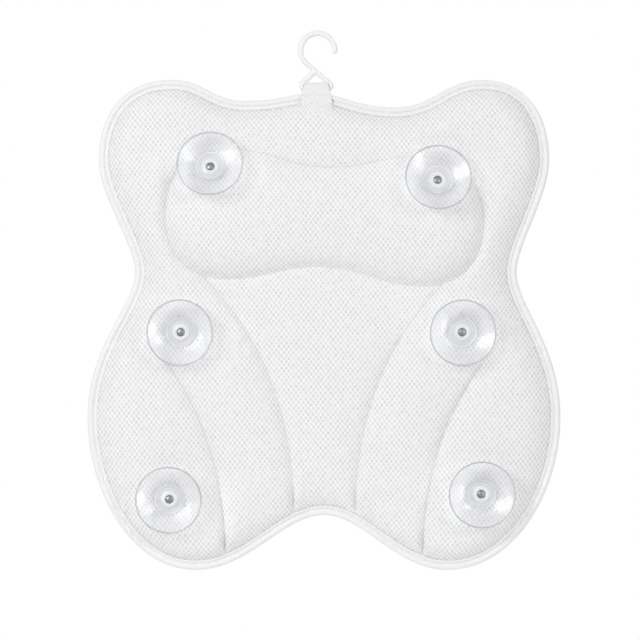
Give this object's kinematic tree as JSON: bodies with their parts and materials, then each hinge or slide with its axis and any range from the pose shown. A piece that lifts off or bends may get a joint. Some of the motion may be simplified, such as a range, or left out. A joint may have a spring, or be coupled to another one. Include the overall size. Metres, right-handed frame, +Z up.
{
  "type": "bath pillow",
  "caption": "Butterfly-shaped quilted mesh bath pillow with a raised head pad, piped edge, riveted clear suction cups on its back and a swinging hook in a sewn tab.",
  "frame": {"origin": "the point in the crest of the hook where a rail bears", "axes": "+Z up along the hanging pillow, +Y out of the side one leans on, cups towards -Y, +X to the right when the cups are seen"},
  "size_m": [0.3679, 0.0878, 0.4216],
  "materials": {
    "mesh_fabric": "white polyester spacer mesh",
    "fibre_fill": "open fibre padding",
    "piping": "satin woven piping",
    "clear_pvc": "clear soft PVC, gloss",
    "rivet_metal": "plated, satin",
    "washer_plastic": "plain",
    "hook_plastic": "white, semi-gloss"
  },
  "bodies": {
    "hook": {"hook": "hook_plastic"},
    "pillow": {"back_panel": "mesh_fabric", "front_panel": "mesh_fabric", "head_fill": "fibre_fill", "wing_fill": "fibre_fill", "centre_fill": "fibre_fill", "left_lobe_fill": "fibre_fill", "right_lobe_fill": "fibre_fill", "edge_piping": "piping", "cup_rivet_upper_left": "rivet_metal", "backing_washer_upper_left": "washer_plastic", "cup_rivet_upper_right": "rivet_metal", "backing_washer_upper_right": "washer_plastic", "cup_rivet_middle_left": "rivet_metal", "backing_washer_middle_left": "washer_plastic", "cup_rivet_middle_right": "rivet_metal", "backing_washer_middle_right": "washer_plastic", "cup_rivet_lower_left": "rivet_metal", "backing_washer_lower_left": "washer_plastic", "cup_rivet_lower_right": "rivet_metal", "backing_washer_lower_right": "washer_plastic", "hanging_tab": "mesh_fabric"},
    "cup_upper_left": {"suction_cup_upper_left": "clear_pvc"},
    "cup_upper_right": {"suction_cup_upper_right": "clear_pvc"},
    "cup_middle_left": {"suction_cup_middle_left": "clear_pvc"},
    "cup_middle_right": {"suction_cup_middle_right": "clear_pvc"},
    "cup_lower_left": {"suction_cup_lower_left": "clear_pvc"},
    "cup_lower_right": {"suction_cup_lower_right": "clear_pvc"}
  },
  "joints": [
    {"name": "hook_swing", "type": "hinge", "parent": "hook", "child": "pillow", "pos_m": [0, 0, -0.0418], "axis": [1, 0, 0], "range_deg": [-90, 90]},
    {"name": "cup_upper_left_spin", "type": "hinge", "parent": "pillow", "child": "cup_upper_left", "pos_m": [-0.08326, -0.01755, -0.10391], "axis": [-0.052, -0.9566, 0.2867], "continuous": true},
    {"name": "cup_upper_right_spin", "type": "hinge", "parent": "pillow", "child": "cup_upper_right", "pos_m": [0.09287, -0.0189, -0.11426], "axis": [0.0654, -0.9644, 0.2564], "continuous": true},
    {"name": "cup_middle_left_spin", "type": "hinge", "parent": "pillow", "child": "cup_middle_left", "pos_m": [-0.1062, -0.01665, -0.23142], "axis": [-0.0824, -0.9955, -0.0476], "continuous": true},
    {"name": "cup_middle_right_spin", "type": "hinge", "parent": "pillow", "child": "cup_middle_right", "pos_m": [0.11186, -0.01689, -0.23142], "axis": [0.0746, -0.9959, -0.0512], "continuous": true},
    {"name": "cup_lower_left_spin", "type": "hinge", "parent": "pillow", "child": "cup_lower_left", "pos_m": [-0.1152, -0.01695, -0.36142], "axis": [-0.0645, -0.9969, -0.0452], "continuous": true},
    {"name": "cup_lower_right_spin", "type": "hinge", "parent": "pillow", "child": "cup_lower_right", "pos_m": [0.12686, -0.01705, -0.35742], "axis": [0.0574, -0.9977, -0.0363], "continuous": true}
  ]
}
